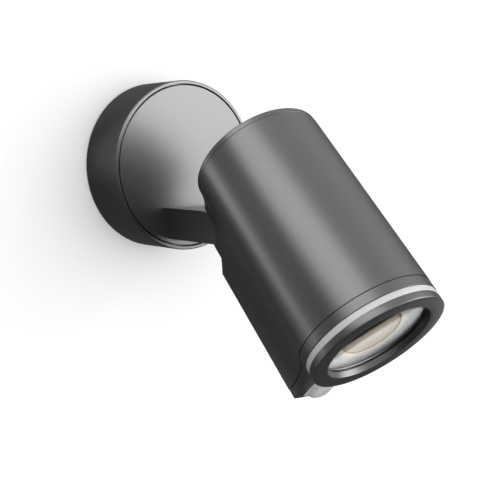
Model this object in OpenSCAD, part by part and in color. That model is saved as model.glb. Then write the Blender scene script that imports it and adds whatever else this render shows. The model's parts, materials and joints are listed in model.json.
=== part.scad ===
// Outdoor wall spotlight with a motion sensor in the fin under its head.
// Frame: millimetres, +Z up, the wall is the plane y = 0 and the lamp stands out towards -Y.
// The origin is the centre of the rosette's back, on the wall.

/* [Rosette] */
// Outer diameter of the rosette
rosette_d = 108; // [94:1:140]
// How far the rosette's front stands off the wall
rosette_depth = 35.5; // [33:0.5:50]
// Wall of the rosette's shell
rosette_wall = 3; // [2.8:0.1:4]
// Wall of the rosette's rim beside the turning disc
rim_wall = 2; // [1.4:0.1:2.4]
// Groove between the rim and the turning disc
disc_gap = 0.8; // [0.5:0.1:1.2]
// Thickness of the turning disc
disc_t = 4; // [3.5:0.1:5]

/* [Wall fixing] */
// Distance between the two wall screws
fix_spacing = 60; // [50:1:66]
// Width of the slots for the wall screws
fix_slot_w = 5; // [4:0.1:6]
// End-to-end length of the slots
fix_slot_l = 12; // [8:0.5:14]
// Thickness of the wall plate
plate_t = 2.5; // [2:0.1:4]
// Bore of the cable grommet
cable_d = 9; // [8:0.5:12]

/* [Arm and hinge] */
// From the arm's underside to the edge of the turning disc
arm_edge = 3.4; // [3:0.1:8]
// From the disc's face to the hinge axis
arm_reach = 39; // [36:0.5:60]
// Tilt of the head below the horizontal at rest
rest_tilt = 45; // [0:1:90]
// Shank diameter of the hinge bolt
hinge_bolt_d = 5; // [4:0.5:6]
// Width of the head's hinge tongue
tongue_w = 9; // [6:0.5:11]
// Thickness of each friction washer beside the tongue
washer_t = 0.8; // [0.6:0.1:1]
// Thickness of the saddle that lines the hinge socket
saddle_t = 1.8; // [1.5:0.1:2.4]

/* [Head] */
// Outer diameter of the lamp tube
head_d = 78.2; // [76:0.2:94]
// Wall of the lamp tube
head_wall = 2.5; // [2:0.1:3.5]
// Length of the tube between its two caps
body_len = 116.1; // [96:0.5:150]
// Thickness of the rear cap
rear_cap_t = 3.5; // [3.5:0.1:5]
// Thickness of the front cap
front_cap_t = 5.4; // [5:0.1:8]
// Height of the translucent ring
glow_ring_h = 3.6; // [3:0.1:5]
// Height of the bezel
bezel_h = 4.3; // [4:0.1:6]
// Diameter of the bezel's opening
aperture_d = 60.2; // [56:0.2:61]
// Thickness of the front glass
glass_t = 2.9; // [2:0.1:3]
// Diameter of the light source
emitter_d = 34; // [20:1:38]

/* [Sensor fin] */
// How far the fin's outer face stands off the tube
fin_depth = 21.9; // [21:0.1:27]
// Width of the fin at its outer face
fin_tip_w = 28.4; // [28:0.2:34]
// Radius of the fin's hollow flanks
flank_r = 53.5; // [45:0.5:60]
// Wall of the fin
fin_wall = 2.2; // [2:0.1:2.6]
// Diameter of the sensor lens dome
lens_d = 15.8; // [13:0.2:19]
// Diameter of the two setting dials
dial_d = 7; // [6:0.2:8]

/* [Hidden] */

anthracite = [0.25, 0.26, 0.27];
steel = [0.62, 0.63, 0.65];
black = [0.08, 0.08, 0.09];

// Clearances
run_gap = 0.05;
seat_gap = 0.1;
part_gap = 0.3;
eps = 0.02;
$fn = 96;

// Rosette, measured from its axis
rosette_r = rosette_d / 2;
shell_r = rosette_r - rosette_wall;
rim_r = rosette_r - rim_wall;
disc_r = rim_r - disc_gap;
ledge_t = 2.5;
seal_t = 2;
disc_back = rosette_depth - disc_t;
ledge_front = disc_back - seal_t;
ledge_back = ledge_front - ledge_t;
spigot_r = shell_r - 5;
spigot_wall = 3.8;
ledge_r = spigot_r + run_gap;
retainer_t = 2.4;
retainer_r = ledge_r + 1.5;
retainer_front = ledge_back - run_gap;
retainer_screw_r = spigot_r - spigot_wall / 2;
retainer_screw_d = 2;
lug_angle = 14;
lug_reach = 2.8;
stop_drop = 5;

// Wall plate
plate_r = shell_r - 4.5;
tab_w = 14;
tab_t = 2.5;
tab_inset = 2;
tab_h = 13;
grommet_r = 12;
grommet_lip = 2;
grub_d = 4;
grub_z = 8;
gasket_w = 3.6;
terminal_y = 22;
terminal_pitch = 10;
terminal_size = [32, 15, 13];
terminal_screw_d = 4.6;
terminal_screw_top = plate_t + 11;
earth_y = -24;

// Head, measured along its axis from its rear face
head_r = head_d / 2;
bore_r = head_r - head_wall;
body_z0 = rear_cap_t;
body_z1 = body_z0 + body_len;
cap_z1 = body_z1 + front_cap_t;
ring_z1 = cap_z1 + glow_ring_h;
bezel_z1 = ring_z1 + bezel_h;
cap_seam = 0.35;

// Hinge: the arm has the section of the fin's outer part, so that both run on when straight
fin_r = head_r + fin_depth;
arm_h = fin_depth - part_gap;
knuckle_r = arm_h / 2;
arm_drop = disc_r - knuckle_r - arm_edge;
pivot_v = fin_r - knuckle_r;
pivot_z = 10;
socket_gap = 0.4;
saddle_r = knuckle_r + socket_gap;
socket_r = saddle_r + saddle_t + seat_gap;
saddle_from = 10;
saddle_to = -55;
eye_r = hinge_bolt_d / 2 + 5.5;
slot_r = eye_r + 0.6;
slot_w = tongue_w + 2 * washer_t + 2 * run_gap;
relief_v = fin_r - 8.5;
ramp_z0 = pivot_z + socket_r + 7.9;
ramp_z1 = ramp_z0 + (fin_r - relief_v);
stem_h = 7;
stem_v = pivot_v - 2.5;
stem_z1 = ramp_z0 + 1;
stem_screw_d = 3.3;
lead_d = 5;
lead_x = 9.5;
lead_v = pivot_v - 4.2;
bolt_head_d = hinge_bolt_d + 3.5;
bolt_head_h = 4.6;
bolt_cheek = 3;
bolt_seat_x = slot_w / 2 + bolt_cheek;
spring_washer_t = 0.8;
knuckle_z = rosette_depth + arm_reach;
cable_bore_d = 8;
arm_screw_d = 4;
arm_screw_x = 10;
arm_screw_len = 14;

// Fin
flank_x = fin_tip_w / 2 + flank_r;
flank_v = fin_r + 2;
fin_root = head_r - 9.1;
chamber_z0 = ramp_z1 + 2;
chamber_v0 = head_r + 1.2;

// Screw channels of the tube
channel_r = bore_r - 3;
channel_boss = 3.4;
channel_d = 2.6;
channel_z0 = body_z0 + 4;
channel_angles = [30, 150, 270];
cap_screw_d = 2.5;
cap_screw_head = 5;

// Light unit
glass_r = aperture_d / 2 + 1.5;
seat_r = glass_r - 1.1;
collar_r0 = glass_r + 1.6;
collar_r1 = collar_r0 + 2.5;
glass_top = ring_z1 + 0.9;
glass_z0 = glass_top - glass_t;
aperture_r1 = aperture_d / 2 - 1.3;
glass_seal_t = 0.7;
rim_top = glass_z0 - glass_seal_t;
emitter_r = emitter_d / 2;
board_t = 1.6;
emitter_t = 1.4;
board_z1 = cap_z1 - 1.8;
board_r = seat_r - 3.5;
board_screw_d = 2.9;
board_screw_r = board_r - 4;
sink_flange_t = 5;
sink_fin_len = 30;
sink_screw_r = head_r - 4.8;
sink_angles = [90, 210, 330];
sink_top = board_z1 - board_t - eps;
sink_flange_z1 = body_z1 - seat_gap;
sink_flange_z0 = sink_flange_z1 - sink_flange_t;
sink_fin_z0 = sink_flange_z0 - sink_fin_len;
sink_fin_count = 9;
sink_fin_pitch = 6.4;
sink_fin_t = 2;
driver_w = 38;
driver_h = 26;
driver_z0 = 14;
driver_z1 = sink_fin_z0 - 8.5;
bracket_t = 1.5;
cap_lip_r = bore_r - 8;
sink_fin_r = bore_r - 8;

// Sensor
lens_flange = 2;
lens_h = lens_d + 1.2;
lens_v = fin_r - 1.2 - lens_h / 2;
lens_z0 = cap_z1 - 1.6;
dome_r = lens_d / 2;
dome_z = cap_z1 - 1.5;
dial_z = [body_z1 - 41.6, body_z1 - 27.6];
dial_r = dial_d / 2;
dial_recess = 0.6;
dial_t = 4;
pot_w = 9;
detector_z1 = body_z1 - 0.6;
detector_h = 4.4;
sensor_board_v = lens_v - 5.3;
sensor_board_t = 1.6;
sensor_board_z0 = dial_z[0] - 14;

// Frames of the two bodies that turn
module from_wall() {
    rotate([90, 0, 0])
        children();
}

module from_head() {
    translate([0, -rosette_depth - arm_reach, -arm_drop])
        rotate([90 + rest_tilt, 0, 0])
            translate([0, pivot_v, -pivot_z])
                children();
}

// A ring or disc about the local z axis
module ring(r0, r1, z0, z1) {
    translate([0, 0, z0])
        difference() {
            cylinder(r = r1, h = z1 - z0);
            if (r0 > 0)
                translate([0, 0, -1])
                    cylinder(r = r0, h = z1 - z0 + 2);
        }
}

module rod(d, x, y, z0, z1) {
    translate([x, y, z0])
        cylinder(d = d, h = z1 - z0, $fn = 48);
}

module box(lo, hi) {
    translate(lo)
        cube(hi - lo);
}

// A side view, drawn as (along the axis, up), given a width across x
module across(w) {
    rotate([0, -90, 0])
        linear_extrude(w, center = true)
            children();
}

module at_angles(angles, r) {
    for (a = angles)
        rotate(a)
            translate([r, 0, 0])
                children();
}

// A pan-head screw: the head lies behind z = 0 and the shank runs to z = len
module pan_screw(d, len, head_d, head_h) {
    difference() {
        union() {
            cylinder(d = d, h = len, $fn = 48);
            translate([0, 0, -head_h])
                cylinder(d = head_d, h = head_h, $fn = 48);
        }
        translate([0, 0, -head_h - 1])
            cylinder(d = d * 0.7, h = head_h * 0.55 + 1, $fn = 6);
    }
}

// ---- sections ----

module flanks(grow) {
    for (side = [-1, 1])
        translate([side * flank_x, -flank_v])
            circle(r = flank_r + grow, $fn = 180);
}

module fin_section(inset) {
    difference() {
        intersection() {
            circle(r = fin_r - inset, $fn = 180);
            translate([-fin_root, -fin_r])
                square([2 * fin_root, fin_r - sqrt(head_r * head_r - fin_root * fin_root) + 2]);
        }
        flanks(inset);
    }
}

module head_section(trim) {
    circle(r = head_r - trim, $fn = 180);
    fin_section(trim);
}

// ---- rosette ----

module wall_plate() {
    color(steel) from_wall() {
        difference() {
            cylinder(r = plate_r, h = plate_t);
            translate([0, 0, -1])
                cylinder(r = grommet_r, h = plate_t + 2);
            for (side = [-1, 1])
                translate([side * fix_spacing / 2, 0, -1])
                    linear_extrude(plate_t + 2)
                        wall_slot();
        }
        for (side = [-1, 1])
            translate([0, side * (plate_r - tab_t / 2 - tab_inset), 0])
                box([-tab_w / 2, -tab_t / 2, plate_t - eps], [tab_w / 2, tab_t / 2, tab_h]);
    }
}

module wall_slot() {
    straight = (fix_slot_l - fix_slot_w) / 2;
    square([2 * straight, fix_slot_w], center = true);
    for (side = [-1, 1])
        translate([side * straight, 0])
            circle(d = fix_slot_w, $fn = 48);
}

module wall_gasket() {
    color(black) from_wall()
        ring(shell_r - seat_gap - gasket_w, shell_r - seat_gap, 0, plate_t);
}

module cable_grommet() {
    color(black) from_wall() {
        ring(cable_d / 2, grommet_r - seat_gap, 0, plate_t + 1);
        ring(cable_d / 2, grommet_r + grommet_lip, plate_t + eps, plate_t + 2);
    }
}

module terminal_block() {
    color([0.9, 0.9, 0.88]) from_wall()
        translate([-terminal_size[0] / 2, terminal_y - terminal_size[1] / 2, plate_t + eps])
            difference() {
                cube(terminal_size);
                for (i = [-1:1])
                    translate([terminal_size[0] / 2 + i * terminal_pitch, terminal_size[1] / 2, 0]) {
                        translate([0, 0, terminal_size[2] - 5])
                            cylinder(d = terminal_screw_d + 0.4, h = 6, $fn = 48);
                        translate([0, -terminal_size[1] / 2 - 1, 5])
                            rotate([-90, 0, 0])
                                cylinder(d = 4, h = 5, $fn = 48);
                    }
            }
}

module terminal_screws() {
    color([0.85, 0.72, 0.4]) from_wall()
        for (i = [-1:1])
            difference() {
                rod(terminal_screw_d, i * terminal_pitch, terminal_y,
                    terminal_screw_top - 2.8, terminal_screw_top);
                box([i * terminal_pitch - 0.5, terminal_y - 3, terminal_screw_top - 1],
                    [i * terminal_pitch + 0.5, terminal_y + 3, terminal_screw_top + 1]);
            }
}

module earth_screw() {
    color([0.85, 0.72, 0.4]) from_wall()
        translate([0, earth_y, plate_t + 3.2])
            rotate([180, 0, 0])
                pan_screw(4, 3, 8, 3);
}

module rosette_housing() {
    color(anthracite) from_wall()
        difference() {
            union() {
                rotate_extrude($fn = 180)
                    polygon([
                        [shell_r, 0],
                        [rosette_r - 0.5, 0],
                        [rosette_r, 0.5],
                        [rosette_r, rosette_depth - 0.6],
                        [rosette_r - 0.6, rosette_depth],
                        [rim_r, rosette_depth],
                        [rim_r, ledge_front],
                        [ledge_r, ledge_front],
                        [ledge_r, ledge_back],
                        [shell_r, ledge_back]
                    ]);
                rotate(-90)
                    pan_stop();
            }
            translate([0, -shell_r + 3, grub_z])
                rotate([90, 0, 0])
                    cylinder(d = grub_d, h = rosette_wall + 6, $fn = 48);
        }
}

// The stop block under the ledge, which the retainer's lug runs against at each end of the turn
module pan_stop() {
    intersection() {
        ring(retainer_r + seat_gap + 0.5, shell_r + 0.5, ledge_back - stop_drop, ledge_back + 0.5);
        wedge(lug_angle);
    }
}

module wedge(angle) {
    reach = 2 * rosette_r;
    linear_extrude(rosette_depth)
        polygon([
            [0, 0],
            reach * [cos(angle / 2), -sin(angle / 2)],
            reach * [cos(angle / 2), sin(angle / 2)]
        ]);
}

module rosette_grub_screw() {
    color(steel) from_wall()
        difference() {
            translate([0, -plate_r + tab_inset - eps, grub_z])
                rotate([90, 0, 0])
                    cylinder(d = grub_d, h = rosette_r - plate_r + 1.2, $fn = 48);
            translate([0, -rosette_r - 1, grub_z])
                rotate([-90, 0, 0])
                    cylinder(d = grub_d / 2, h = 4, $fn = 6);
        }
}

module disc_seal() {
    color(black) from_wall()
        ring(ledge_r + 1.4, shell_r - 0.6, ledge_front + eps, disc_back - seat_gap);
}

module turning_disc() {
    color([0.5, 0.51, 0.52]) from_wall()
        difference() {
            union() {
                rotate_extrude($fn = 180)
                    polygon([
                        [0, disc_back],
                        [disc_r, disc_back],
                        [disc_r, rosette_depth - 0.4],
                        [disc_r - 0.4, rosette_depth],
                        [0, rosette_depth]
                    ]);
                ring(spigot_r - spigot_wall, spigot_r, retainer_front, disc_back + eps);
            }
            translate([0, -arm_drop, disc_back - 1])
                cylinder(d = cable_bore_d, h = disc_t + 2, $fn = 48);
            for (side = [-1, 1])
                rod(arm_screw_d + 2 * seat_gap, side * arm_screw_x, -arm_drop,
                    disc_back - 1, rosette_depth + 1);
            at_angles([45:90:315], retainer_screw_r)
                translate([0, 0, retainer_front - 1])
                    cylinder(d = retainer_screw_d, h = 5, $fn = 48);
        }
}

module disc_retainer() {
    color(steel) from_wall()
        difference() {
            union() {
                ring(spigot_r - spigot_wall, retainer_r, retainer_front - retainer_t, retainer_front);
                intersection() {
                    ring(retainer_r - 0.5, retainer_r + lug_reach,
                         retainer_front - retainer_t, retainer_front);
                    rotate(90)
                        wedge(lug_angle);
                }
            }
            at_angles([45:90:315], retainer_screw_r)
                translate([0, 0, retainer_front - retainer_t - 1])
                    cylinder(d = retainer_screw_d + 0.2, h = retainer_t + 2, $fn = 48);
        }
}

module retainer_screws() {
    color(steel) from_wall()
        at_angles([45:90:315], retainer_screw_r)
            translate([0, 0, retainer_front - retainer_t])
                pan_screw(retainer_screw_d, retainer_t + 3.8, 3.6, 1.4);
}

// ---- arm and hinge ----

module arm() {
    color(anthracite) from_wall()
        difference() {
            intersection() {
                translate([0, pivot_v - arm_drop, rosette_depth])
                    linear_extrude(arm_reach + knuckle_r + 1)
                        fin_section(0);
                translate([0, -arm_drop, 0])
                    across(2 * fin_root) {
                        translate([rosette_depth, -knuckle_r])
                            square([arm_reach, arm_h]);
                        translate([knuckle_z, 0])
                            circle(r = knuckle_r, $fn = 120);
                    }
            }
            translate([0, -arm_drop, 0])
                across(slot_w) {
                    translate([knuckle_z - slot_r, -knuckle_r - 2])
                        square([slot_r + knuckle_r + 2, knuckle_r + 2 + slot_r]);
                }
            rod(cable_bore_d, 0, -arm_drop, rosette_depth - 1, knuckle_z);
            for (side = [-1, 1])
                rod(arm_screw_d, side * arm_screw_x, -arm_drop, rosette_depth - 1,
                    rosette_depth + arm_screw_len - disc_t + 1);
            at_pivot() {
                translate([0, 0, -fin_tip_w / 2 + 2.5])
                    cylinder(d = hinge_bolt_d, h = fin_tip_w / 2, $fn = 48);
                cylinder(d = hinge_bolt_d + 2 * seat_gap, h = fin_tip_w / 2, $fn = 48);
                translate([0, 0, bolt_seat_x])
                    cylinder(d = bolt_head_d + 0.4, h = fin_tip_w, $fn = 64);
            }
        }
}

// The hinge axis in the wall's frame, with z along +X
module at_pivot() {
    translate([0, -arm_drop, knuckle_z])
        rotate([0, 90, 0])
            children();
}

module arm_screws() {
    color(steel) from_wall()
        for (side = [-1, 1])
            translate([side * arm_screw_x, -arm_drop, disc_back])
                pan_screw(arm_screw_d, arm_screw_len, 7, 2.6);
}

module hinge_bolt() {
    color(steel) from_wall()
        at_pivot()
            difference() {
                union() {
                    translate([0, 0, -fin_tip_w / 2 + 3])
                        cylinder(d = hinge_bolt_d, h = fin_tip_w / 2 - 3 + bolt_seat_x + 1, $fn = 48);
                    translate([0, 0, bolt_seat_x + spring_washer_t])
                        cylinder(d = bolt_head_d, h = bolt_head_h - spring_washer_t, $fn = 64);
                }
                translate([0, 0, bolt_seat_x + bolt_head_h - 2.4])
                    cylinder(d = hinge_bolt_d * 0.9, h = 4, $fn = 6);
            }
}

module spring_washer() {
    color(steel) from_wall()
        at_pivot()
            ring(hinge_bolt_d / 2 + seat_gap, bolt_head_d / 2, bolt_seat_x, bolt_seat_x + spring_washer_t);
}

module friction_washers() {
    color([0.75, 0.6, 0.35]) from_wall()
        at_pivot()
            for (side = [-1, 1])
                translate([0, 0, side * (slot_w - washer_t) / 2])
                    ring(hinge_bolt_d / 2 + seat_gap, eye_r - 1, -washer_t / 2, washer_t / 2);
}

// The head's half of the hinge: a saddle along the socket, with the tongue and a stem behind it
module hinge_saddle() {
    color(anthracite) from_head()
        difference() {
            union() {
                intersection() {
                    linear_extrude(body_z1)
                        fin_section(0);
                    pivot_side(2 * fin_root)
                        intersection() {
                            difference() {
                                circle(r = saddle_r + saddle_t, $fn = 120);
                                circle(r = saddle_r, $fn = 120);
                            }
                            polygon([
                                [0, 0],
                                2 * socket_r * [cos(saddle_from), -sin(saddle_from)],
                                2 * socket_r * [1, 0],
                                2 * socket_r * [cos(saddle_to), -sin(saddle_to)]
                            ]);
                        }
                }
                pivot_side(tongue_w) {
                    circle(r = eye_r, $fn = 96);
                    polygon([
                        [0, eye_r],
                        [saddle_r + 0.5, 5],
                        [saddle_r + 0.5, -1.5],
                        [0, -eye_r]
                    ]);
                    translate([saddle_r - 1, pivot_v - stem_v - stem_h / 2])
                        square([stem_z1 - pivot_z - saddle_r + 1, stem_h]);
                }
            }
            pivot_side(tongue_w + 2)
                circle(d = hinge_bolt_d + 2 * run_gap, $fn = 96);
            rod(stem_screw_d, 0, -stem_v, stem_z1 - 8, stem_z1 + 1);
            lead_hole();
        }
}

// A side view about the hinge axis in the head's frame, drawn as (forwards, towards the tube)
module pivot_side(w) {
    translate([0, -pivot_v, pivot_z])
        across(w)
            children();
}

module saddle_screw() {
    color(steel) from_head()
        translate([0, -stem_v, chamber_z0])
            rotate([180, 0, 0])
                pan_screw(stem_screw_d, chamber_z0 - stem_z1 + 7, 6.5, 2.4);
}

// ---- head ----

module head_body() {
    color(anthracite) from_head()
        difference() {
            union() {
                difference() {
                    translate([0, 0, body_z0 + cap_seam])
                        linear_extrude(body_len - 2 * cap_seam)
                            head_section(0);
                    translate([0, 0, body_z0 - 1])
                        cylinder(r = bore_r, h = body_len + 2, $fn = 180);
                }
                translate([0, 0, channel_z0])
                    intersection() {
                        at_angles(channel_angles, channel_r)
                            cylinder(r = channel_boss, h = body_z1 - cap_seam - channel_z0, $fn = 48);
                        cylinder(r = bore_r + 0.5, h = body_len, $fn = 180);
                    }
            }
            hinge_socket();
            fin_chamber();
            at_angles(channel_angles, channel_r)
                translate([0, 0, channel_z0 - 1])
                    cylinder(d = channel_d, h = body_len, $fn = 48);
            for (z = dial_z)
                dial_place(z)
                    translate([0, 0, -fin_wall - 3])
                        cylinder(r = dial_r + run_gap, h = fin_wall + 6, $fn = 96);
            lead_hole();
            translate([lead_x, -chamber_v0 - 1, chamber_z0 + 8])
                rotate([-90, 0, 0])
                    cylinder(d = lead_d, h = head_wall + 4, $fn = 48);
        }
}

// The way of the lamp's leads from the hinge into the fin's chamber
module lead_hole() {
    rod(lead_d, lead_x, -lead_v, pivot_z, chamber_z0 + 1);
}

// Everything that the hinge takes out of the fin's rear end
module hinge_socket() {
    difference() {
        pivot_side(2 * fin_root + 2) {
            circle(r = socket_r, $fn = 120);
            translate([-pivot_z - 2, -fin_r])
                square([pivot_z + 2, 2 * fin_r]);
            translate([0, pivot_v - fin_r - 5])
                square([socket_r, fin_r - relief_v + 5]);
            polygon([
                [0, pivot_v - relief_v],
                [ramp_z0 - pivot_z, pivot_v - relief_v],
                [ramp_z1 - pivot_z, pivot_v - fin_r],
                [ramp_z1 - pivot_z, pivot_v - fin_r - 5],
                [0, pivot_v - fin_r - 5]
            ]);
        }
        translate([0, 0, -1])
            linear_extrude(body_z1)
                translate([-fin_root - 5, -head_r])
                    square([2 * fin_root + 10, 2 * head_r + 10]);
    }
    pivot_side(tongue_w + 2 * seat_gap)
        translate([saddle_r, pivot_v - stem_v - stem_h / 2 - seat_gap])
            square([stem_z1 - pivot_z - saddle_r + seat_gap, stem_h + 2 * seat_gap]);
    rod(stem_screw_d + 2 * seat_gap, 0, -stem_v, stem_z1 - 1, chamber_z0 + 1);
}

module fin_chamber() {
    translate([0, 0, chamber_z0])
        linear_extrude(body_z1)
            difference() {
                fin_section(fin_wall);
                circle(r = chamber_v0, $fn = 180);
            }
}

module rear_cap() {
    color(anthracite) from_head()
        difference() {
            rotate_extrude($fn = 180)
                polygon([
                    [0, 0],
                    [head_r - 0.8, 0],
                    [head_r - 0.2, 0.6],
                    [head_r - 0.2, rear_cap_t],
                    [bore_r - seat_gap, rear_cap_t],
                    [bore_r - seat_gap, channel_z0 - 0.2],
                    [cap_lip_r, channel_z0 - 0.2],
                    [cap_lip_r, rear_cap_t],
                    [0, rear_cap_t]
                ]);
            at_angles(channel_angles, channel_r) {
                translate([0, 0, -1])
                    cylinder(d = cap_screw_d + 0.5, h = channel_z0 + 2, $fn = 48);
                translate([0, 0, -1])
                    cylinder(d = cap_screw_head + 0.4, h = 3, $fn = 48);
            }
        }
}

module rear_seal() {
    color(black) from_head()
        ring(bore_r + 0.2, head_r - 0.7, rear_cap_t + eps, rear_cap_t + cap_seam - eps);
}

module rear_cap_screws() {
    color(steel) from_head()
        at_angles(channel_angles, channel_r)
            translate([0, 0, 2])
                pan_screw(cap_screw_d, 14, cap_screw_head, 1.9);
}

module front_cap() {
    color(anthracite) from_head()
        difference() {
            union() {
                translate([0, 0, body_z1])
                    linear_extrude(front_cap_t)
                        head_section(0.15);
                ring(collar_r0, collar_r1, cap_z1 - eps, ring_z1 - 0.4);
            }
            translate([0, 0, body_z1 - 1])
                cylinder(r = seat_r, h = front_cap_t + 4, $fn = 180);
            at_angles(channel_angles, channel_r) {
                translate([0, 0, body_z1 - 1])
                    cylinder(d = cap_screw_d + 0.5, h = front_cap_t + 6, $fn = 48);
                translate([0, 0, cap_z1 - 2.4])
                    cylinder(d = cap_screw_head + 0.4, h = 8, $fn = 48);
            }
            at_angles(sink_angles, sink_screw_r)
                translate([0, 0, body_z1 - 1])
                    cylinder(d = cap_screw_d, h = 4.6, $fn = 48);
            lens_window(lens_z0, cap_z1 + 1, 0);
            lens_window(body_z1 - 1, lens_z0 + 1, -1.5);
        }
}

// The opening for the sensor lens; grow widens it
module lens_window(z0, z1, grow) {
    w = lens_d + 2 * grow;
    h = lens_h + 2 * grow;
    box([-w / 2, -lens_v - h / 2, z0], [w / 2, -lens_v + h / 2, z1]);
}

module front_seal() {
    color(black) from_head()
        ring(bore_r + 0.2, head_r - 0.7, body_z1 - cap_seam + eps, body_z1 - eps);
}

module front_cap_screws() {
    color(steel) from_head()
        at_angles(channel_angles, channel_r)
            translate([0, 0, cap_z1 - 2.4])
                rotate([180, 0, 0])
                    pan_screw(cap_screw_d, 14, cap_screw_head, 1.9);
}

module glow_ring() {
    color([0.93, 0.94, 0.95, 0.8]) from_head()
        ring(collar_r1 + seat_gap, head_r - 0.7, cap_z1 + eps, ring_z1 - eps);
}

module bezel() {
    color(anthracite) from_head()
        rotate_extrude($fn = 180)
            polygon([
                [glass_r + seat_gap, glass_z0],
                [collar_r0 - seat_gap, glass_z0],
                [collar_r0 - seat_gap, ring_z1],
                [head_r - 0.4, ring_z1],
                [head_r - 0.4, bezel_z1 - 0.5],
                [head_r - 0.9, bezel_z1],
                [aperture_d / 2, bezel_z1],
                [aperture_r1, glass_top + eps],
                [glass_r + seat_gap, glass_top + eps]
            ]);
}

module front_glass() {
    color([0.85, 0.9, 0.9, 0.3]) from_head()
        ring(0, glass_r, glass_z0 + eps, glass_top);
}

module glass_seal() {
    color(black) from_head()
        ring(glass_r - 2.4, glass_r, rim_top + eps, glass_z0);
}

module reflector() {
    dish_z0 = board_z1 + 0.4;
    color([0.85, 0.86, 0.88]) from_head()
        rotate_extrude($fn = 180)
            polygon([
                [emitter_r + 0.4, dish_z0],
                [emitter_r + 2, dish_z0],
                [seat_r - 2.4, cap_z1 + eps],
                [glass_r, cap_z1 + eps],
                [glass_r, rim_top],
                [seat_r - 2.2, rim_top],
                [emitter_r + 0.4, dish_z0 + 0.8]
            ]);
}

module led_emitter() {
    color([0.85, 0.75, 0.55]) from_head()
        ring(0, emitter_r, board_z1 + eps, board_z1 + emitter_t);
}

module led_board() {
    color([0.88, 0.88, 0.86]) from_head()
        difference() {
            ring(0, board_r, board_z1 - board_t, board_z1);
            at_angles(sink_angles, board_screw_r)
                translate([0, 0, board_z1 - 5])
                    cylinder(d = board_screw_d + 0.3, h = 6, $fn = 48);
        }
}

module led_board_screws() {
    color(steel) from_head()
        at_angles(sink_angles, board_screw_r)
            translate([0, 0, board_z1 - board_t + eps])
                rotate([180, 0, 0])
                    cylinder(d = board_screw_d, h = 5, $fn = 48);
}

module heat_sink() {
    color([0.6, 0.61, 0.63]) from_head()
        difference() {
            union() {
                ring(0, bore_r - part_gap, sink_flange_z0, sink_flange_z1);
                ring(0, seat_r - seat_gap, sink_flange_z1 - eps, sink_top);
                intersection() {
                    for (i = [0:sink_fin_count - 1])
                        translate([(i - (sink_fin_count - 1) / 2) * sink_fin_pitch, -head_r, sink_fin_z0])
                            translate([-sink_fin_t / 2, 0, 0])
                                cube([sink_fin_t, head_d, sink_fin_len + 1]);
                    ring(0, sink_fin_r, sink_fin_z0, sink_flange_z0 + 1);
                }
            }
            at_angles(channel_angles, channel_r)
                translate([0, 0, sink_flange_z0 - 1])
                    cylinder(r = channel_boss + part_gap, h = sink_flange_t + 2, $fn = 48);
            at_angles(channel_angles, channel_r + channel_boss)
                translate([-2, -channel_boss - part_gap, sink_flange_z0 - 1])
                    cube([8, 2 * (channel_boss + part_gap), sink_flange_t + 2]);
            at_angles(sink_angles, sink_screw_r)
                translate([0, 0, sink_flange_z0 - 1])
                    cylinder(d = cap_screw_d + 0.3, h = sink_flange_t + 2, $fn = 48);
            at_angles(sink_angles, board_screw_r)
                translate([0, 0, sink_top - 6])
                    cylinder(d = board_screw_d, h = 8, $fn = 48);
        }
}

module heat_sink_screws() {
    color(steel) from_head()
        at_angles(sink_angles, sink_screw_r)
            translate([0, 0, sink_flange_z0])
                pan_screw(cap_screw_d, sink_flange_t + 3.4, 3.8, 2);
}

module driver_bracket() {
    back = -driver_h / 2 - bracket_t - 0.2;
    color(steel) from_head()
        intersection() {
            union() {
                box([-driver_w / 2 - 4, back, rear_cap_t + eps],
                    [driver_w / 2 + 4, back + bracket_t, driver_z1]);
                box([-driver_w / 2 - 4, back + bracket_t - 0.1, rear_cap_t + eps],
                    [driver_w / 2 + 4, driver_h / 2, rear_cap_t + bracket_t]);
            }
            cylinder(r = cap_lip_r - part_gap, h = body_z1);
        }
}

module led_driver() {
    color([0.2, 0.2, 0.22]) from_head()
        difference() {
            box([-driver_w / 2, -driver_h / 2, driver_z0],
                [driver_w / 2, driver_h / 2, driver_z1]);
            for (side = [-1, 1])
                translate([side * (driver_w / 2 - 4), 0, driver_z1 - 3])
                    cylinder(d = 3, h = 4, $fn = 48);
        }
}

// ---- sensor ----

module sensor_lens() {
    color([0.9, 0.9, 0.92, 0.8]) from_head()
        difference() {
            union() {
                lens_window(lens_z0 + eps, lens_z0 + lens_flange, -seat_gap);
                intersection() {
                    translate([0, -lens_v, dome_z])
                        sphere(r = dome_r - seat_gap, $fn = 96);
                    lens_window(lens_z0 + 0.2, dome_z + dome_r, -seat_gap);
                }
            }
            translate([0, -lens_v, dome_z])
                sphere(r = dome_r - 1.2, $fn = 96);
        }
}

module sensor_lens_frame() {
    color(black) from_head()
        difference() {
            lens_window(body_z1 + 0.6, lens_z0 - eps, -1.6);
            lens_window(body_z1, lens_z0 + 1, -2.8);
        }
}

module motion_detector() {
    color(steel) from_head()
        difference() {
            union() {
                rod(9.1, 0, -lens_v, detector_z1 - detector_h, detector_z1 - detector_h + 0.4);
                rod(8.2, 0, -lens_v, detector_z1 - detector_h, detector_z1);
            }
            box([-2.3, -lens_v - 1.7, detector_z1 - 0.4], [2.3, -lens_v + 1.7, detector_z1 + 1]);
        }
}

module detector_board() {
    color([0.1, 0.3, 0.15]) from_head()
        box([-11, -lens_v - 5.5, detector_z1 - detector_h - 1.6],
            [11, -lens_v + 8.5, detector_z1 - detector_h - eps]);
}

module sensor_board() {
    color([0.1, 0.3, 0.15]) from_head()
        box([-11.5, -sensor_board_v - sensor_board_t, sensor_board_z0],
            [11.5, -sensor_board_v, detector_z1 - detector_h - 1.8]);
}

// The outer face of the fin at a height along the head, with z pointing out of it
module dial_place(z) {
    translate([0, -fin_r, z])
        rotate([90, 0, 0])
            children();
}

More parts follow.
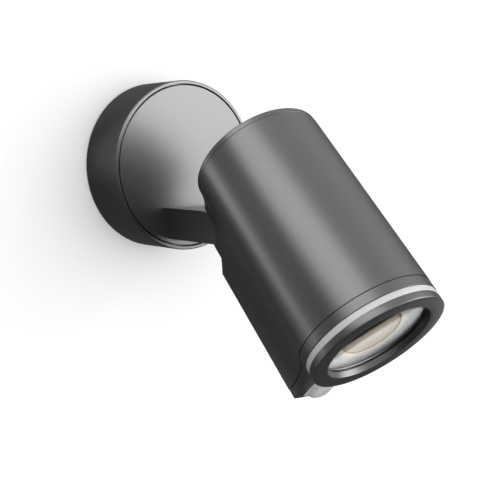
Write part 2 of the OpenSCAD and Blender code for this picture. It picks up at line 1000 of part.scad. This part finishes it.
module setting_pots() {
    color([0.2, 0.35, 0.6]) from_head()
        for (z = dial_z)
            box([-pot_w / 2, -fin_r + dial_recess + dial_t + 0.2, z - pot_w / 2],
                [pot_w / 2, -sensor_board_v - sensor_board_t - eps, z + pot_w / 2]);
}

// A slotted dial
module dial() {
    translate([0, 0, -dial_recess - dial_t])
        difference() {
            cylinder(r = dial_r, h = dial_t, $fn = 96);
            translate([-dial_r * 0.75, -0.6, dial_t - 1.2])
                cube([dial_r * 1.5, 1.2, 2]);
        }
}

module time_dial() {
    color([0.85, 0.86, 0.87]) from_head()
        dial_place(dial_z[0])
            dial();
}

module twilight_dial() {
    color([0.85, 0.86, 0.87]) from_head()
        dial_place(dial_z[1])
            dial();
}

wall_plate();
wall_gasket();
cable_grommet();
terminal_block();
terminal_screws();
earth_screw();
rosette_housing();
rosette_grub_screw();
disc_seal();
turning_disc();
disc_retainer();
retainer_screws();
arm();
arm_screws();
hinge_bolt();
friction_washers();
spring_washer();
hinge_saddle();
saddle_screw();
head_body();
rear_cap();
rear_seal();
rear_cap_screws();
front_cap();
front_seal();
front_cap_screws();
glow_ring();
bezel();
front_glass();
glass_seal();
reflector();
led_emitter();
led_board();
led_board_screws();
heat_sink();
heat_sink_screws();
driver_bracket();
led_driver();
sensor_lens();
sensor_lens_frame();
motion_detector();
detector_board();
sensor_board();
setting_pots();
time_dial();
twilight_dial();
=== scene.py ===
"""The looks of an outdoor wall spotlight with a motion sensor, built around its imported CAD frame."""
import json
import math

import bmesh
import bpy
from mathutils import Matrix, Vector


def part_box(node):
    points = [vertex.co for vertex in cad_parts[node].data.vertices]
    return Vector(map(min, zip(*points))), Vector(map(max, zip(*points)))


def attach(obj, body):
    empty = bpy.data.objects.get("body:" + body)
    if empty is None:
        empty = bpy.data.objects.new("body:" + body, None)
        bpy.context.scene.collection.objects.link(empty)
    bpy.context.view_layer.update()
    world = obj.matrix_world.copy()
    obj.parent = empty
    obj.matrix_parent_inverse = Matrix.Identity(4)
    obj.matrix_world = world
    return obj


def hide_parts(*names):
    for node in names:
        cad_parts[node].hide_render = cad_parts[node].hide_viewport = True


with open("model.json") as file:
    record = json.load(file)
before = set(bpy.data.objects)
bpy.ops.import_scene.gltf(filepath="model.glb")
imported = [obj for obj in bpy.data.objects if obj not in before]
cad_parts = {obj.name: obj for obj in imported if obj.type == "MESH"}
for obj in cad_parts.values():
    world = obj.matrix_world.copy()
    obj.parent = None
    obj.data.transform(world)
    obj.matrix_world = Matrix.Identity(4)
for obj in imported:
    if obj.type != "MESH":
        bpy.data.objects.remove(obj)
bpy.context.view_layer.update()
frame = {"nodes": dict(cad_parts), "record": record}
MM = 0.001
HEAD_BODY = "lamp_head"
ARM_BODY = "turning_arm"
ROSETTE_BODY = "rosette"

# ---- places, all worked out from the frame ----


def middle(node):
    """The centre of a CAD node's box."""
    low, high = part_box(node)
    return (low + high) / 2


def head_matrix():
    """The head's own frame: z runs along the tube from its rear face, and the fin is towards -y."""
    axis = (middle("front_glass") - middle("rear_seal")).normalized()
    across = Vector((1, 0, 0))
    up = axis.cross(across)
    turn = Matrix((across, up, axis)).transposed().to_4x4()
    start = middle("rear_seal")
    rear = min((v.co - start).dot(axis) for v in frame["nodes"]["rear_cap"].data.vertices)
    return Matrix.Translation(start + axis * rear) @ turn


HEAD = head_matrix()


def span(node, place):
    """Lowest and highest corner of a CAD node in a place's own frame."""
    back = place.inverted()
    points = [back @ v.co for v in frame["nodes"][node].data.vertices]
    low = Vector([min(p[i] for p in points) for i in range(3)])
    high = Vector([max(p[i] for p in points) for i in range(3)])
    return low, high


# ---- mesh building ----

SAME_POINT = 1e-7
SAME_CAD_POINT = 2e-6


def rounded(corners, steps=5):
    """A closed outline from (r, z, radius) corners, each rounded with its own radius."""
    most_of_side = 0.49
    outline = []
    count = len(corners)
    for i, (r, z, radius) in enumerate(corners):
        here = Vector((r, z))
        before = Vector(corners[i - 1][:2]) - here
        after = Vector(corners[(i + 1) % count][:2]) - here
        if radius <= 0:
            outline.append(here)
            continue
        half = before.angle(after) / 2
        shorter = min(before.length, after.length)
        cut = min(radius / math.tan(half), shorter * most_of_side)
        a = here + before.normalized() * cut
        b = here + after.normalized() * cut
        for k in range(steps + 1):
            t = k / steps
            outline.append(a * (1 - t) ** 2 + here * 2 * t * (1 - t) + b * t ** 2)
    return outline


def new_piece(name, bm, place, smooth_angle=35):
    """Turns a bmesh into an object at a place, smooth up to an angle in degrees and sharp past it."""
    bmesh.ops.recalc_face_normals(bm, faces=bm.faces)
    mesh = bpy.data.meshes.new(name)
    bm.to_mesh(mesh)
    bm.free()
    mesh.transform(place)
    mesh.polygons.foreach_set("use_smooth", [True] * len(mesh.polygons))
    mesh.set_sharp_from_angle(angle=math.radians(smooth_angle))
    piece = bpy.data.objects.new(name, mesh)
    bpy.context.scene.collection.objects.link(piece)
    return piece


def turned(name, outline, place, segments=192, wave=None):
    """A solid of revolution about the place's z axis from a closed outline of (r, z) points.
    wave(angle, r, z) may move a point to a new (r, z)."""
    bm = bmesh.new()
    rings = []
    for s in range(segments):
        angle = 2 * math.pi * s / segments
        ring = []
        for r, z in outline:
            if wave:
                r, z = wave(angle, r, z)
            ring.append(bm.verts.new((r * math.cos(angle), r * math.sin(angle), z)))
        rings.append(ring)
    count = len(outline)
    for s in range(segments):
        here, there = rings[s], rings[(s + 1) % segments]
        for k in range(count):
            n = (k + 1) % count
            bm.faces.new((here[k], there[k], there[n], here[n]))
    bmesh.ops.remove_doubles(bm, verts=bm.verts, dist=SAME_POINT)
    bmesh.ops.dissolve_degenerate(bm, edges=bm.edges, dist=SAME_POINT)
    return new_piece(name, bm, place)


def bevelled_copy(name, node, width, angle=30):
    """A CAD node's own shape, with its edges sharper than an angle in degrees broken."""
    bm = bmesh.new()
    bm.from_mesh(frame["nodes"][node].data)
    bmesh.ops.remove_doubles(bm, verts=bm.verts, dist=SAME_CAD_POINT)
    flat_enough = math.radians(0.6)
    bmesh.ops.dissolve_limit(bm, angle_limit=flat_enough, verts=bm.verts, edges=bm.edges)
    piece = new_piece(name, bm, Matrix.Identity(4), smooth_angle=angle)
    bevel = piece.modifiers.new("edges", "BEVEL")
    bevel.width = width
    bevel.segments = 3
    bevel.limit_method = "ANGLE"
    bevel.angle_limit = math.radians(angle)
    bevel.harden_normals = True
    bevel.use_clamp_overlap = True
    return piece


# ---- materials ----


# Noise seldom leaves these values, so shades and gloss are spread between them
NOISE_LOW, NOISE_HIGH = 0.3, 0.7
# Sockets of a colour Mix node
MIX_FACTOR, MIX_FIRST, MIX_SECOND, MIX_RESULT = 0, 6, 7, 2


class Shader:
    """A new material around one Principled shader, with helpers that add nodes and join them."""

    def __init__(self, name):
        self.material = bpy.data.materials.new(name)
        self.material.use_nodes = True
        self.tree = self.material.node_tree
        self.tree.nodes.clear()
        self.out = self.add("ShaderNodeOutputMaterial")
        self.bsdf = self.add("ShaderNodeBsdfPrincipled")
        self.join(self.bsdf, "BSDF", self.out, "Surface")
        self.place = self.add("ShaderNodeTexCoord")

    def add(self, kind, **settings):
        node = self.tree.nodes.new(kind)
        for key, value in settings.items():
            setattr(node, key, value)
        return node

    def join(self, a, out, b, into):
        self.tree.links.new(a.outputs[out], b.inputs[into])

    def set(self, socket, value):
        self.bsdf.inputs[socket].default_value = value

    def noise(self, scale, detail=2.0, rough=0.5, source=None):
        node = self.add("ShaderNodeTexNoise")
        node.inputs["Scale"].default_value = scale
        node.inputs["Detail"].default_value = detail
        node.inputs["Roughness"].default_value = rough
        if source is None:
            self.join(self.place, "Object", node, "Vector")
        else:
            self.tree.links.new(source, node.inputs["Vector"])
        return node

    def stretched(self, scale):
        """Object coordinates with their own scale in x, y and z."""
        node = self.add("ShaderNodeMapping")
        node.inputs["Scale"].default_value = scale
        self.join(self.place, "Object", node, "Vector")
        return node.outputs["Vector"]

    def spread(self, node, out, low, high):
        """A noise node's output, spread from low to high."""
        mapped = self.add("ShaderNodeMapRange")
        mapped.inputs["From Min"].default_value = NOISE_LOW
        mapped.inputs["From Max"].default_value = NOISE_HIGH
        mapped.inputs["To Min"].default_value = low
        mapped.inputs["To Max"].default_value = high
        self.join(node, out, mapped, "Value")
        return mapped

    def colours(self, node, out, dark, light):
        ramp = self.add("ShaderNodeValToRGB")
        ends = ((NOISE_LOW, dark), (NOISE_HIGH, light))
        for element, (position, colour) in zip(ramp.color_ramp.elements, ends):
            element.position = position
            element.color = (*colour, 1)
        self.join(node, out, ramp, "Fac")
        self.join(ramp, "Color", self.bsdf, "Base Color")
        return ramp

    def roughness(self, node, out, low, high):
        self.join(self.spread(node, out, low, high), "Result", self.bsdf, "Roughness")

    def bump(self, node, out, strength, distance):
        bump = self.add("ShaderNodeBump")
        bump.inputs["Strength"].default_value = strength
        bump.inputs["Distance"].default_value = distance
        self.join(node, out, bump, "Height")
        self.join(bump, "Normal", self.bsdf, "Normal")


def shade(value, tint):
    return tuple(value * t for t in tint)


COOL = (0.985, 0.995, 1.01)


def powder_coat(name, level, rough):
    """Satin powder coat: a very fine grain, with slight changes of shade and gloss."""
    s = Shader(name)
    grain = s.noise(1700, 3, 0.65)
    s.colours(grain, "Fac", shade(level * 0.8, COOL), shade(level * 1.25, COOL))
    s.roughness(s.noise(900, 2), "Fac", rough - 0.015, rough + 0.015)
    s.bump(grain, "Fac", 0.2, 0.00004)
    s.set("Specular IOR Level", 0.75)
    return s.material


def plain_metal(name, colour, rough, grain_scale=(40, 40, 900)):
    """Bare metal with a drawn or brushed grain."""
    s = Shader(name)
    grain = s.noise(1, 3, 0.6, s.stretched(grain_scale))
    s.colours(grain, "Fac", shade(0.86, colour), shade(1.06, colour))
    s.roughness(grain, "Fac", rough - 0.06, rough + 0.08)
    s.bump(grain, "Fac", 0.2, 0.00003)
    s.set("Metallic", 1.0)
    return s.material


def moulded(name, colour, rough, grain=1800, bump=0.12):
    """Moulded plastic or rubber with a fine spark-eroded grain."""
    s = Shader(name)
    s.colours(s.noise(45, 2), "Fac", shade(0.9, colour), shade(1.08, colour))
    s.roughness(s.noise(160, 2), "Fac", rough - 0.05, rough + 0.05)
    s.bump(s.noise(grain, 2, 0.6), "Fac", bump, 0.00004)
    return s.material


def milky(name, colour, rough, weight, scale=900, facets=0.0):
    """Milky translucent plastic that passes some light, with small facets of a depth if asked for."""
    s = Shader(name)
    s.colours(s.noise(120, 3), "Fac", shade(0.93, colour), colour)
    s.roughness(s.noise(300, 2), "Fac", rough - 0.05, rough + 0.08)
    if facets:
        cells = s.add("ShaderNodeTexVoronoi", feature="F1")
        cells.inputs["Scale"].default_value = scale
        s.join(s.place, "Object", cells, "Vector")
        s.bump(cells, "Distance", 0.8, facets)
    else:
        s.bump(s.noise(scale, 2), "Fac", 0.15, 0.00006)
    s.set("IOR", 1.49)
    s.set("Transmission Weight", weight)
    s.set("Subsurface Weight", 0.12)
    s.set("Subsurface Scale", MM)
    return s.material


def clear_glass():
    """Clear glass, faintly uneven in gloss."""
    s = Shader("clear_glass")
    s.colours(s.noise(30, 2), "Fac", (0.97, 0.985, 0.98), (1, 1, 1))
    s.roughness(s.noise(60, 3), "Fac", 0.0, 0.03)
    s.set("IOR", 1.46)
    s.set("Transmission Weight", 1.0)
    return s.material


def mirror_coat():
    """A soft silver coating, with a painted warm reflection of the phosphor close to the light source.
    """
    s = Shader("mirror_coat")
    ramp = s.colours(s.noise(90, 2), "Fac", (0.42, 0.43, 0.45), (0.48, 0.49, 0.51))
    # Painted reflection: close to the light source the silver turns beige, standing for the phosphor
    # mirrored in the dish
    away = s.add("ShaderNodeVectorMath", operation="DISTANCE")
    away.inputs[1].default_value = middle("led_emitter")
    s.join(s.place, "Object", away, 0)
    painted_reflection_mask = s.add("ShaderNodeMapRange", interpolation_type="SMOOTHSTEP")
    radius = span("led_emitter", HEAD)[1].x
    painted_reflection_mask.inputs["From Min"].default_value = radius + 0.5 * MM
    painted_reflection_mask.inputs["From Max"].default_value = radius + 5 * MM
    s.join(away, "Value", painted_reflection_mask, "Value")
    mix = s.add("ShaderNodeMix", data_type="RGBA")
    s.join(painted_reflection_mask, "Result", mix, MIX_FACTOR)
    # the beige of the painted reflection of the phosphor
    mix.inputs[MIX_FIRST].default_value = (0.74, 0.63, 0.49, 1)
    s.join(ramp, "Color", mix, MIX_SECOND)
    s.join(mix, MIX_RESULT, s.bsdf, "Base Color")
    s.roughness(s.noise(400, 2), "Fac", 0.28, 0.36)
    s.set("Metallic", 1.0)
    return s.material


def phosphor():
    """The grainy, warm coating over the light-emitting chips."""
    s = Shader("phosphor")
    s.colours(s.noise(500, 3, 0.6), "Fac", (0.86, 0.71, 0.53), (0.92, 0.77, 0.58))
    s.roughness(s.noise(200, 2), "Fac", 0.3, 0.42)
    s.bump(s.noise(1500, 2), "Fac", 0.2, 0.00005)
    return s.material


def circuit_board(name, colour):
    """Solder mask with faint copper tracks under it."""
    s = Shader(name)
    tracks = s.add("ShaderNodeTexWave", wave_type="BANDS", bands_direction="X")
    tracks.inputs["Scale"].default_value = 180
    tracks.inputs["Distortion"].default_value = 6
    s.join(s.place, "Object", tracks, "Vector")
    s.colours(tracks, "Fac", shade(0.8, colour), shade(1.15, colour))
    s.bump(tracks, "Fac", 0.2, 0.00003)
    s.set("Roughness", 0.35)
    return s.material


MATERIALS = {
    "anthracite_coat": powder_coat("anthracite_coat", 0.016, 0.33),
    "zinc_steel": plain_metal("zinc_steel", (0.6, 0.61, 0.62), 0.32),
    "brass_contacts": plain_metal("brass_contacts", (0.75, 0.58, 0.28), 0.28),
    "friction_bronze": plain_metal("friction_bronze", (0.6, 0.42, 0.22), 0.4),
    "seal_rubber": moulded("seal_rubber", (0.018, 0.018, 0.02), 0.65),
    "terminal_plastic": moulded("terminal_plastic", (0.78, 0.78, 0.75), 0.45),
    "frosted_ring": milky("frosted_ring", (0.64, 0.65, 0.66), 0.42, 0.2),
    "lens_plastic": milky("lens_plastic", (0.66, 0.67, 0.69), 0.16, 0.15, 650, 0.5 * MM),
    "clear_glass": clear_glass(),
    "mirror_coat": mirror_coat(),
    "phosphor": phosphor(),
    "white_board": circuit_board("white_board", (0.78, 0.78, 0.75)),
    "sink_aluminium": plain_metal("sink_aluminium", (0.62, 0.63, 0.64), 0.38, (300, 300, 40)),
    "green_board": circuit_board("green_board", (0.03, 0.16, 0.07)),
    "driver_case": moulded("driver_case", (0.025, 0.025, 0.028), 0.5),
    "pot_plastic": moulded("pot_plastic", (0.08, 0.15, 0.4), 0.4),
    "dial_plastic": moulded("dial_plastic", (0.6, 0.61, 0.62), 0.35),
}


def finish_piece(piece, body, slot, *nodes):
    """Gives a new piece its material and its body, and hides the CAD nodes that it stands for."""
    piece.data.materials.clear()
    piece.data.materials.append(MATERIALS[slot])
    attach(piece, body)
    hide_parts(*nodes)


def paint_cad_nodes():
    """Gives every carried-over CAD node the finish of its slot."""
    for part in frame["record"]["subparts"]:
        node = frame["nodes"][part["node"]]
        node.data.materials.clear()
        node.data.materials.append(MATERIALS[part["material_slot"]])


# ---- pieces of the head ----


def make_bezel():
    """The ring around the opening, whose inner side slopes down to the glass."""
    low, high = span("bezel", HEAD)
    top, bottom = high.z, low.z
    inside_box = 0.14 * MM
    outer = high.x - inside_box
    ring_top = span("glow_ring", HEAD)[1].z
    glass = span("front_glass", HEAD)[1]
    overlap = 1.5 * MM
    collar = span("glass_seal", HEAD)[1].x + overlap
    opening = glass.x - overlap
    slope = 1.3 * MM
    seat = glass.x + 0.1 * MM
    above_glass = glass.z + 0.03 * MM
    corners = [
        (seat, bottom, 0.1 * MM),
        (collar, bottom, 0.1 * MM),
        (collar, ring_top, 0),
        (outer, ring_top, 0.35 * MM),
        (outer, top, 0.7 * MM),
        (opening, top, 0.5 * MM),
        (opening - slope, above_glass, 0.2 * MM),
        (seat, above_glass, 0),
    ]
    piece = turned("bezel_ring", rounded(corners), HEAD, 256)
    finish_piece(piece, HEAD_BODY, "anthracite_coat", "bezel")


def make_glass():
    """The round glass, with its edges broken."""
    low, high = span("front_glass", HEAD)
    edge = 0.35 * MM
    corners = [(0, low.z, 0), (high.x, low.z, edge), (high.x, high.z, edge), (0, high.z, 0)]
    piece = turned("glass_pane", rounded(corners), HEAD, 192)
    finish_piece(piece, HEAD_BODY, "clear_glass", "front_glass")


def make_glow_ring():
    """The milky ring, with fine upright ribs on its inner side that catch the light."""
    low, high = span("glow_ring", HEAD)
    outer = high.x
    inner = outer - 2.6 * MM
    rib_depth = 0.25 * MM
    corners = [
        (inner, low.z, 0.1 * MM),
        (outer, low.z, 0.3 * MM),
        (outer, high.z, 0.3 * MM),
        (inner, high.z, 0.1 * MM),
    ]
    ribs = 120

    def wave(angle, r, z):
        if r < (inner + outer) / 2:
            r += rib_depth * (0.5 + 0.5 * math.cos(ribs * angle))
        return r, z

    piece = turned("glow_ring_ribbed", rounded(corners), HEAD, ribs * 4, wave)
    finish_piece(piece, HEAD_BODY, "frosted_ring", "glow_ring")


def make_reflector():
    """The silver bowl around the light source, with a small step up to its rim."""
    low, high = span("reflector", HEAD)
    hole = span("led_emitter", HEAD)[1].x + 0.1 * MM
    mouth = high.x - 3.2 * MM
    wall = 0.5 * MM
    step = 0.7 * MM
    floor_z = low.z + 0.8 * MM
    curve = 1.6
    rows = 12
    inner = []
    for k in range(rows + 1):
        t = k / rows
        z = floor_z + (high.z - step - floor_z) * t ** curve
        inner.append((hole + (mouth - hole) * t, z))
    outline = inner + [
        (mouth + 0.5 * MM, high.z - step),
        (mouth + 1.1 * MM, high.z),
        (high.x, high.z),
        (high.x, high.z - wall),
        (mouth + 1.4 * MM, high.z - wall),
        (mouth + 0.9 * MM, high.z - step - wall),
        (hole + 1.6 * MM, low.z),
        (hole, low.z),
    ]
    piece = turned("reflector_dish", [Vector(p) for p in outline], HEAD, 216)
    finish_piece(piece, HEAD_BODY, "mirror_coat", "reflector")


def make_emitter():
    """The light source: a low dome of phosphor."""
    low, high = span("led_emitter", HEAD)
    radius = high.x
    rise = high.z - low.z
    rim = 0.35
    outline = [(0, low.z), (radius, low.z)]
    steps = 10
    for k in range(steps + 1):
        r = 1 - k / steps
        outline.append((radius * r, low.z + rise * (rim + (1 - rim) * (1 - r ** 2))))
    piece = turned("light_source", [Vector(p) for p in outline], HEAD, 160)
    finish_piece(piece, HEAD_BODY, "phosphor", "led_emitter")


def make_sensor_lens():
    """The sensor's lens: a flat border and a dome of small facets, like a cut stone."""
    low, high = span("sensor_lens", HEAD)
    centre = (low + high) / 2
    half_w = (high.x - low.x) / 2
    half_h = (high.y - low.y) / 2
    face_z = low.z + 2.0 * MM
    top_z = face_z + (high.z - face_z) * 0.72
    bm = bmesh.new()

    def ring_of(width, height, z, corner):
        """A ring of points: an ellipse at corner 2, and squarer above it."""
        ring = []
        count = 28
        for k in range(count):
            a = 2 * math.pi * (k + 0.5) / count
            c, s = math.cos(a), math.sin(a)
            power = 2 / corner
            x = math.copysign(abs(c) ** power, c) * width
            y = math.copysign(abs(s) ** power, s) * height
            ring.append(bm.verts.new((centre.x + x, centre.y + y, z)))
        return ring

    edge_drop, edge_in = 0.25 * MM, 0.3 * MM
    rings = [
        ring_of(half_w, half_h, low.z, 9),
        ring_of(half_w, half_h, face_z - edge_drop, 9),
        ring_of(half_w - edge_in, half_h - edge_in, face_z, 7),
        ring_of(half_w - 0.7 * MM, half_h - 0.9 * MM, face_z + 0.05 * MM, 4),
    ]
    rows = 6
    dome_w, dome_h = half_w - 0.75 * MM, half_h - 1.0 * MM
    for row in range(1, rows):
        t = row / rows * math.pi / 2
        z = face_z + (top_z - face_z) * math.sin(t) ** 0.8
        shrink = math.cos(t) ** 0.7
        rings.append(ring_of(dome_w * shrink, dome_h * shrink, z, 2.8))
    count = len(rings[0])
    for a, b in zip(rings, rings[1:]):
        for k in range(count):
            n = (k + 1) % count
            bm.faces.new((a[k], a[n], b[n], b[k]))
    bm.faces.new(rings[-1])
    bm.faces.new(list(reversed(rings[0])))
    piece = new_piece("sensor_lens_faceted", bm, HEAD, smooth_angle=4)
    finish_piece(piece, HEAD_BODY, "lens_plastic", "sensor_lens")


def make_bevelled_shells():
    """The painted shells, with the broken edges that catch the light. Widths are in mm."""
    for node, body, width in (
        ("arm", ARM_BODY, 0.35),
        ("head_body", HEAD_BODY, 0.25),
        ("front_cap", HEAD_BODY, 0.25),
        ("hinge_saddle", HEAD_BODY, 0.2),
        ("rear_cap", HEAD_BODY, 0.2),
        ("turning_disc", ARM_BODY, 0.2),
        ("rosette_housing", ROSETTE_BODY, 0.3),
    ):
        piece = bevelled_copy(node + "_edged", node, width * MM)
        finish_piece(piece, body, "anthracite_coat", node)


# ---- stage, light and camera ----


def make_wall():
    """A plain white wall behind the rosette, clear when seen from behind, and a pale floor."""
    s = Shader("wall_paint")
    s.colours(s.noise(6, 2), "Fac", (0.86, 0.86, 0.86), (0.88, 0.88, 0.88))
    s.bump(s.noise(350, 3), "Fac", 0.05, 0.0001)
    s.set("Roughness", 0.9)
    s.set("Specular IOR Level", 0.1)
    side = s.add("ShaderNodeNewGeometry")
    clear = s.add("ShaderNodeBsdfTransparent")
    mix = s.add("ShaderNodeMixShader")
    s.join(side, "Backfacing", mix, "Fac")
    s.tree.links.new(s.bsdf.outputs["BSDF"], mix.inputs[1])
    s.tree.links.new(clear.outputs["BSDF"], mix.inputs[2])
    s.tree.links.new(mix.outputs["Shader"], s.out.inputs["Surface"])
    reach = 3.0
    wall_y = 0.0005
    floor_z = -0.8
    foot = [(-reach, wall_y, floor_z), (reach, wall_y, floor_z)]
    wall = flat("wall", foot + [(reach, wall_y, reach), (-reach, wall_y, reach)])
    front = [(-reach, -reach, floor_z), (reach, -reach, floor_z)]
    floor = flat("floor", front + foot[::-1])
    for piece in (wall, floor):
        piece.data.materials.append(s.material)
        piece.visible_glossy = False
        piece.visible_diffuse = False
        piece.visible_transmission = False


def flat(name, corners):
    """One flat face from its corners, as an object."""
    bm = bmesh.new()
    bm.faces.new([bm.verts.new(c) for c in corners])
    mesh = bpy.data.meshes.new(name)
    bm.to_mesh(mesh)
    bm.free()
    piece = bpy.data.objects.new(name, mesh)
    bpy.context.scene.collection.objects.link(piece)
    return piece


def aimed(place, aim, spin=0.0):
    """A matrix at a place whose -z looks at a point, turned about that line by a spin."""
    turn = (Vector(aim) - Vector(place)).to_track_quat("-Z", "Y").to_matrix().to_4x4()
    return Matrix.Translation(place) @ turn @ Matrix.Rotation(spin, 4, "Z")


def make_light(name, place, aim, size, power):
    """Soft light for the matt part of every surface; the reflections come from the cards."""
    light = bpy.data.lights.new(name, "AREA")
    light.shape = "RECTANGLE"
    light.size, light.size_y = size
    light.energy = power
    holder = bpy.data.objects.new(name, light)
    holder.matrix_world = aimed(place, aim)
    holder.visible_glossy = False
    holder.visible_camera = False
    holder.visible_transmission = False
    bpy.context.scene.collection.objects.link(holder)


def make_card(name, place, aim, size, strength, spin=0.0, edge=0.35):
    """A glowing card that shows only as a reflection. Its light fades out over the outer share
    of its half width and half height that edge gives."""
    width, height = size[0] / 2, size[1] / 2
    low_side = [(-width, -height, 0), (width, -height, 0)]
    card = flat(name, low_side + [(width, height, 0), (-width, height, 0)])
    card.matrix_world = aimed(place, aim, spin)
    material = bpy.data.materials.new(name)
    material.use_nodes = True
    tree = material.node_tree
    tree.nodes.clear()
    point = tree.nodes.new("ShaderNodeTexCoord")
    split = tree.nodes.new("ShaderNodeSeparateXYZ")
    tree.links.new(point.outputs["Object"], split.inputs["Vector"])
    levels = []
    for axis, half in (("X", width), ("Y", height)):
        off_centre = tree.nodes.new("ShaderNodeMath")
        off_centre.operation = "ABSOLUTE"
        tree.links.new(split.outputs[axis], off_centre.inputs[0])
        fade = tree.nodes.new("ShaderNodeMapRange")
        fade.interpolation_type = "SMOOTHSTEP"
        fade.inputs["From Min"].default_value = half
        fade.inputs["From Max"].default_value = half * (1 - edge)
        tree.links.new(off_centre.outputs[0], fade.inputs["Value"])
        levels.append(fade.outputs["Result"])
    product = tree.nodes.new("ShaderNodeMath")
    product.operation = "MULTIPLY"
    tree.links.new(levels[0], product.inputs[0])
    tree.links.new(levels[1], product.inputs[1])
    glow = tree.nodes.new("ShaderNodeEmission")
    glow.inputs["Strength"].default_value = strength
    clear = tree.nodes.new("ShaderNodeBsdfTransparent")
    mix = tree.nodes.new("ShaderNodeMixShader")
    tree.links.new(product.outputs[0], mix.inputs[0])
    tree.links.new(clear.outputs[0], mix.inputs[1])
    tree.links.new(glow.outputs[0], mix.inputs[2])
    end = tree.nodes.new("ShaderNodeOutputMaterial")
    tree.links.new(mix.outputs[0], end.inputs["Surface"])
    material.cycles.emission_sampling = "NONE"
    card.data.materials.append(material)
    card.visible_camera = False
    card.visible_diffuse = False
    card.visible_transmission = False
    card.visible_shadow = False


# Four skies for four kinds of ray. Each is a direction, where along it the rise starts and ends,
# and the lowest and highest strength.
SOFT_LIGHT = ((0, -1, 0.5), -0.8, 0.9, 0.12, 1.38)
ROOM = ((0, -0.6, 0.8), -0.15, 0.9, 0.1, 1.8)
THROUGH_GLASS = ((0.8, -0.4, 0.3), -0.4, 0.6, 0.05, 2.2)
BACKDROP = ((0, 0, 1), -0.7, 0.9, 1, 1)


def sky(tree, place, towards, start, end, low, high):
    """A background whose strength rises smoothly from low to high in one direction."""
    along = tree.nodes.new("ShaderNodeVectorMath")
    along.operation = "DOT_PRODUCT"
    along.inputs[1].default_value = Vector(towards).normalized()
    tree.links.new(place.outputs["Generated"], along.inputs[0])
    rise = tree.nodes.new("ShaderNodeMapRange")
    rise.interpolation_type = "SMOOTHSTEP"
    rise.inputs["From Min"].default_value = start
    rise.inputs["From Max"].default_value = end
    rise.inputs["To Min"].default_value = low
    rise.inputs["To Max"].default_value = high
    tree.links.new(along.outputs["Value"], rise.inputs["Value"])
    background = tree.nodes.new("ShaderNodeBackground")
    background.inputs["Color"].default_value = (1, 1, 1, 1)
    tree.links.new(rise.outputs["Result"], background.inputs["Strength"])
    return background.outputs[0]


def make_world():
    """A pale studio: soft light from the front for matt surfaces, a dim room for reflections,
    another for what is seen out through the glass, and plain white behind."""
    world = bpy.data.worlds.new("studio")
    world.use_nodes = True
    tree = world.node_tree
    tree.nodes.clear()
    place = tree.nodes.new("ShaderNodeTexCoord")
    path = tree.nodes.new("ShaderNodeLightPath")
    result = sky(tree, place, *ROOM)
    kinds = (
        ("Is Diffuse Ray", SOFT_LIGHT),
        ("Is Transmission Ray", THROUGH_GLASS),
        ("Is Camera Ray", BACKDROP),
    )
    for ray, levels in kinds:
        mix = tree.nodes.new("ShaderNodeMixShader")
        tree.links.new(path.outputs[ray], mix.inputs[0])
        tree.links.new(result, mix.inputs[1])
        tree.links.new(sky(tree, place, *levels), mix.inputs[2])
        result = mix.outputs[0]
    end = tree.nodes.new("ShaderNodeOutputWorld")
    tree.links.new(result, end.inputs["Surface"])
    world.cycles.sampling_method = "NONE"
    bpy.context.scene.world = world
    bpy.context.scene.view_settings.view_transform = "Standard"


def make_lights():
    """One soft light from the right, and a card for each broad reflection that the lamp shows."""
    head = middle("head_body")
    rosette_face = (0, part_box("turning_disc")[0].y, 0)
    make_light("key", (1.3, -1.0, 0.1), (0, 0, 0), (1.8, 1.8), 10)
    make_world()
    disc_side = head + Vector((0.75, -0.9, 0.3))
    make_card("disc_card", disc_side, rosette_face, (1.5, 1.7), 11.4, edge=0.85)
    right_side = head + Vector((1.35, 0.2, -0.62))
    make_card("bezel_card", right_side, head, (0.7, 0.9), 1.3, edge=0.8)
    overhead = head + Vector((-1.59, -0.32, 1.77))
    make_card("overhead_card", overhead, head, (1.95, 4.8), 5.9, math.radians(90))
    out = Vector((0, -1, 0))
    strip_low = Vector((-0.215, -0.001, -0.16))
    strip_high = Vector((-0.125, -0.001, -0.02))
    strip = (strip_low + strip_high) / 2
    lean = math.atan2(strip_high.x - strip_low.x, strip_high.z - strip_low.z)
    make_card("strip_card", strip, strip + out, (0.06, 0.3), 3.3, lean)
    wall = Vector((-0.36, 0.001, -0.05))
    make_card("wall_card", wall, wall + out, (0.55, 0.7), 0.8, edge=0.2)
    side = Vector((-0.08, -0.001, 0.03))
    make_card("side_card", side, side + out, (0.06, 0.1), 0.45, edge=0.6)


def make_camera():
    """The camera, in front of the wall on the left, looking to the right and slightly down."""
    look_down, look_right = 5.72, 40.02
    data = bpy.data.cameras.new("camera")
    data.sensor_width = 36
    data.lens = 64
    data.clip_start = 0.01
    camera = bpy.data.objects.new("camera", data)
    camera.location = (-0.3274, -0.4767, 0.0071)
    camera.rotation_euler = (math.radians(90 - look_down), 0, math.radians(-look_right))
    bpy.context.scene.collection.objects.link(camera)
    bpy.context.scene.camera = camera


make_camera()
make_lights()
make_wall()
paint_cad_nodes()
make_bevelled_shells()
make_bezel()
make_glass()
make_glow_ring()
make_reflector()
make_emitter()
make_sensor_lens()
